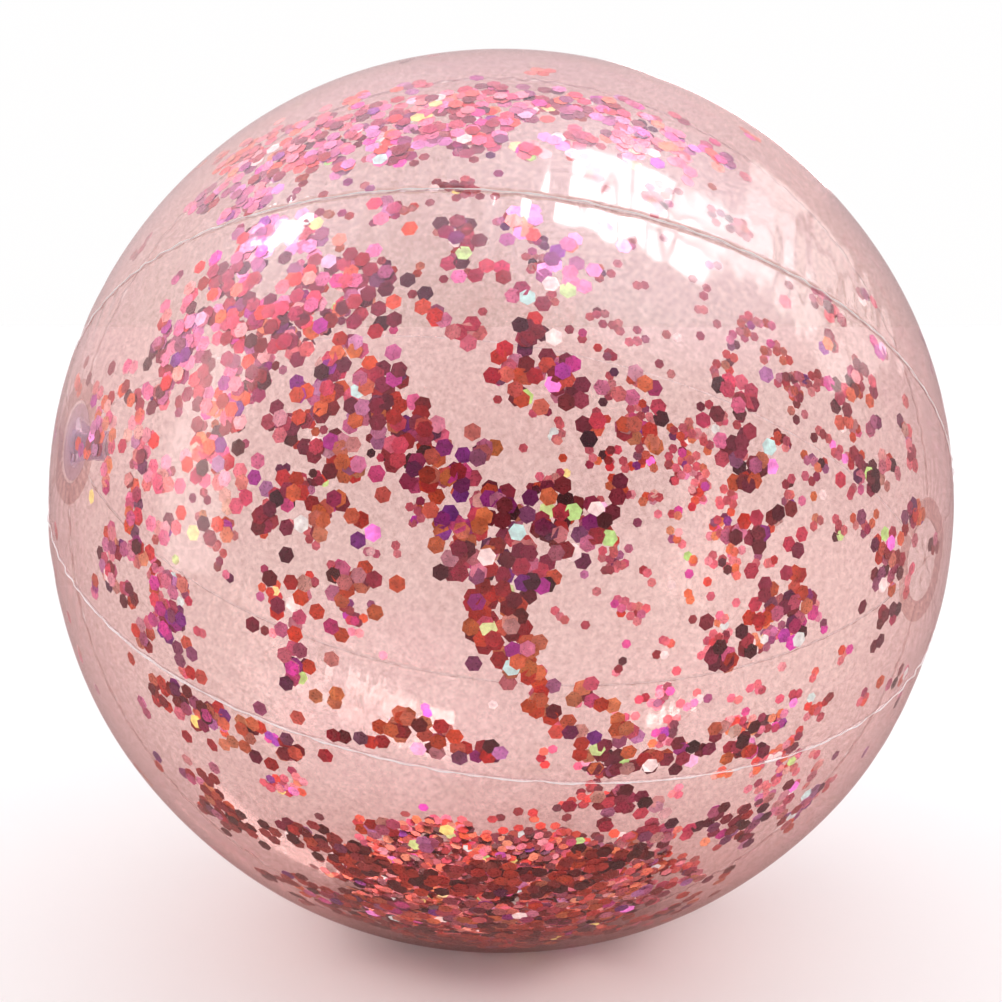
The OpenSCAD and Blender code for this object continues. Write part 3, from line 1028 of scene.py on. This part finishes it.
def make_clinging_glitter():
    """Flakes stuck to the inside of the film, layer on layer, as one piece for each panel."""
    random = np.random.RandomState(7)
    d, names = clinging_directions(random)
    order = random.permutation(len(d))
    d, names = d[order], names[order]
    lean, turn = angles(d)
    pole = np.minimum(lean, math.pi - lean)
    off_seams = from_seam(turn)[0] * np.sin(pole) * BALL_R > 1.15 * FLAKE_R
    clear = off_seams & (pole > TIP_LEAN + 0.03) & (lean > VALVE_CLEAR)
    d, names, lean, turn = (values[clear] for values in (d, names, lean, turn))
    layers, kept = stacked(d, 1.75 * FLAKE_R / BALL_R, MOST_LAYERS)
    d, names, lean, turn, layers = (values[kept] for values in (d, names, lean, turn, layers))
    ups, angle = tilted(random, d, CLINGING_TILT)
    flat = layers > 0
    ups[flat] = d[flat]
    angle[flat] = 0
    depth = FILM_T + FIRST_GAP + layers * (FLAKE_T + FLAKE_GAP) + FLAKE_R * np.sin(angle) + FLAKE_T / 2
    centres = film_points(lean, turn, depth)
    centres[:, 2] = np.maximum(centres[:, 2], depth)
    colours = np.array(pick_colours(random, names))
    spins = random.uniform(0, math.pi / 3, len(d))
    sizes = random.uniform(*FLAKE_SIZES, len(d))
    panel = np.floor(((turn - SEAM_TURNS[0]) % (2 * math.pi)) / (2 * HALF_PANEL)).astype(int)
    for k in range(1, PANELS + 1):
        own = panel == (k - 2) % PANELS
        flakes = [values[own] for values in (centres, ups, spins, sizes)]
        glitter_piece(f"glitter_clinging_{k}", flakes, colours[own], "ball", f"glitter_on_panel_{k}")


def make_pile():
    """Loose flakes heaped at the bottom, clear of the clinging ones all the way round."""
    random = np.random.RandomState(19)
    lean = PILE_LEAN * np.sqrt(random.uniform(0, 1, PILE_FLAKES))
    turn = random.uniform(0, 2 * math.pi, PILE_FLAKES)
    lean *= 1 + 0.09 * np.sin(3 * turn + 0.8) + 0.07 * np.sin(7 * turn)
    lean *= random.uniform(0.9, 1.06, PILE_FLAKES)
    stray = random.uniform(0, 1, PILE_FLAKES) < STRAY_SHARE
    lean[stray] *= random.uniform(1.0, 1.45, stray.sum())
    across, deep = np.sin(lean) * np.cos(turn), np.sin(lean) * np.sin(turn)
    d = unit(np.stack([across * PILE_STRETCH - PILE_SHIFT, deep, -np.cos(lean)], axis=1))
    layers, kept = stacked(d, 1.5 * FLAKE_R / BALL_R, PILE_TOP_LAYERS)
    d, layers = d[kept], layers[kept]
    ups, angle = tilted(random, d, PILE_TILT)
    top = BALL_R - SEAM_DIP - FILM_T - PILE_CLEAR
    radius = top - layers * PILE_STEP - FLAKE_R * np.sin(angle) - FLAKE_T
    names = [PILE_COLOURS[random.randint(len(PILE_COLOURS))] for _ in d]
    spins = random.uniform(0, math.pi / 3, len(d))
    flakes = (CENTRE + d * radius[:, None], ups, spins, random.uniform(*FLAKE_SIZES, len(d)))
    glitter_piece("glitter_loose_pile", flakes, pick_colours(random, names), "pile", "glitter_pile")


make_clinging_glitter()
make_pile()


# -------- floor and backdrop
FLOOR_REACH = 40.0
FLOOR_STEPS = 25


def make_floor():
    """Plain pale floor that runs out to the white backdrop, painted darker where it shows in reflections."""
    n = Nodes(bpy.data.materials.new("pale_floor"))
    grain = n.noise(6.0, 4.0)
    pale = n.mix_colour(grain, colour(246, 245, 245), colour(251, 250, 250))
    # Seen in gloss, the floor shows a darker pinkish grey instead of pale: painted shade in its reflections
    in_gloss = n.add("LightPath").outputs["Is Glossy Ray"]
    shade = n.mix_colour(in_gloss, pale, colour(196, 178, 174))
    material = n.finish(n.add("BsdfPrincipled", Base_Color=shade, Roughness=n.span(grain, 0.6, 0.75)))
    steps = np.linspace(-1, 1, FLOOR_STEPS) ** 3 * FLOOR_REACH
    points = [(x, y, 0.0) for y in steps for x in steps]
    floor = new_piece("studio_floor", points, grid_faces(len(steps), len(steps)), material, None)


make_floor()


# -------- light
WINDOW_TOWARD = (0.44, -0.07, 0.89)
FAR_WINDOW_TOWARD = (-0.62, 0.05, 0.78)
WINDOW_AWAY = 1.5
PANE_SHARE = 0.87
PANE_FADE = 0.72
GLOW_TINT = (0.94, 0.92, 1.16)
# Each glow's direction, the cosine at its edge, and its strength
GLOWS = ((WINDOW_TOWARD, 0.72, 2.2), (FAR_WINDOW_TOWARD, 0.94, 0.8))
# How the room's shine changes along an axis: from, to, and its share at each
ROOM_SHARES = (("X", -0.05, -1.0, 1.0, 1.8), ("Y", -1.0, 0.0, 0.16, 1.0))
# Windows: direction, degrees level and deep, panes level and deep, brightness
WINDOWS = {
    "window": (WINDOW_TOWARD, 30, 20, 3, 2, 18),
    "side_window": ((0.80, 0.26, 0.54), 32, 36, 3, 3, 5.0),
    "far_window": (FAR_WINDOW_TOWARD, 8, 6, 1, 1, 20),
    "back_window": ((0.223, 0.941, 0.256), 16, 12, 1, 1, 7),
}


def deep_and_level(toward):
    """The deep and the level direction across a light that faces the ball from toward."""
    deep = unit(np.array([0.0, 1.0, 0.0]) - toward[1] * toward)
    return deep, np.cross(deep, toward)


def area_light(name, toward, distance, size, brightness):
    """A soft rectangular light facing the ball from a direction, its long side level."""
    toward = unit(toward)
    deep, level = deep_and_level(toward)
    data = bpy.data.lights.new(name, "AREA")
    data.shape = "RECTANGLE"
    data.size, data.size_y = size
    data.energy = math.pi * size[0] * size[1] * brightness
    light = bpy.data.objects.new(name, data)
    light.location = CENTRE + toward * distance
    light.rotation_euler = Matrix([level, deep, toward]).transposed().to_euler()
    light.visible_camera = light.visible_diffuse = False
    scene.collection.objects.link(light)


def make_world():
    """White backdrop and soft light, and in the gloss a warm room, lighter overhead and to the left."""
    n = Nodes(bpy.data.worlds.new("studio"))
    outward = n.place.node.outputs["Generated"]
    direction = n.add("SeparateXYZ", outward).outputs
    room = n.add("ValToRGB", direction["Z"])
    stops = room.color_ramp.elements
    stops[0].color = (0.68, 0.6, 0.6, 1)
    stops[1].position = 0.97
    stops[1].color = (2.4, 2.15, 2.6, 1)
    stops.new(0.45).color = (1.3, 1.16, 1.19, 1)
    shine = room.outputs["Color"]
    for axis, near, far, least, most in ROOM_SHARES:
        shine = n.scaled(shine, n.span(direction[axis], least, most, near, far))
    for toward, edge, most in GLOWS:
        closeness = n.add("VectorMath", outward, tuple(unit(toward)), operation="DOT_PRODUCT")
        glow = n.span(closeness.outputs["Value"], 0.0, most, edge, 1.0)
        glow.node.interpolation_type = "SMOOTHERSTEP"
        shine = n.add("VectorMath", shine, n.scaled(GLOW_TINT, glow), operation="ADD").outputs[0]
    rays = n.add("LightPath").outputs
    shown = n.mix_colour(rays["Is Glossy Ray"], (1.0, 0.995, 0.995, 1), shine)
    shown = n.mix_colour(rays["Is Diffuse Ray"], shown, (1.1, 1.09, 1.09, 1))
    bpy.context.scene.world = n.finish(n.add("Background", shown), "OutputWorld")


def make_window(name, middle, level_span, deep_span, columns, rows, brightness):
    """A window of separate panes on a dome round the ball, its first pane the brightest."""
    middle = unit(middle)
    deep, level = deep_and_level(middle)
    level_span, deep_span = math.radians(level_span), math.radians(deep_span)
    size = (WINDOW_AWAY * level_span / columns * PANE_SHARE, WINDOW_AWAY * deep_span / rows * PANE_SHARE)
    for c, r in product(range(columns), range(rows)):
        a = level_span * ((c + 0.5) / columns - 0.5)
        b = deep_span * ((r + 0.5) / rows - 0.5)
        toward = middle + math.tan(a) * level + math.tan(b) * deep
        area_light(f"{name}_{c + 1}_{r + 1}", toward, WINDOW_AWAY, size, brightness * PANE_FADE ** (c + r))


make_world()
for name, window in WINDOWS.items():
    make_window(name, *window)
area_light("left_card", (-0.75, -0.27, 0.0), 0.8, (0.95, 0.25), 2.2)


# -------- camera
LENS = 49.5
SENSOR = 36.0


def make_camera():
    """In front of the ball and a little above its middle."""
    data = bpy.data.cameras.new("camera")
    data.lens = LENS
    data.sensor_width = SENSOR
    data.clip_start = 0.01
    data.clip_end = 50
    camera = bpy.data.objects.new("camera", data)
    camera.location = CENTRE + CAMERA_TOWARD * BALL_R * CAMERA_AWAY
    camera.rotation_euler = Vector(tuple(CAMERA_TOWARD)).to_track_quat("Z", "Y").to_euler()
    scene.collection.objects.link(camera)
    bpy.context.scene.camera = camera


make_camera()
scene.view_settings.view_transform = "Standard"
if hasattr(scene, "cycles"):
    scene.cycles.transparent_max_bounces = 40
    scene.cycles.max_bounces = 12

bpy.context.view_layer.update()
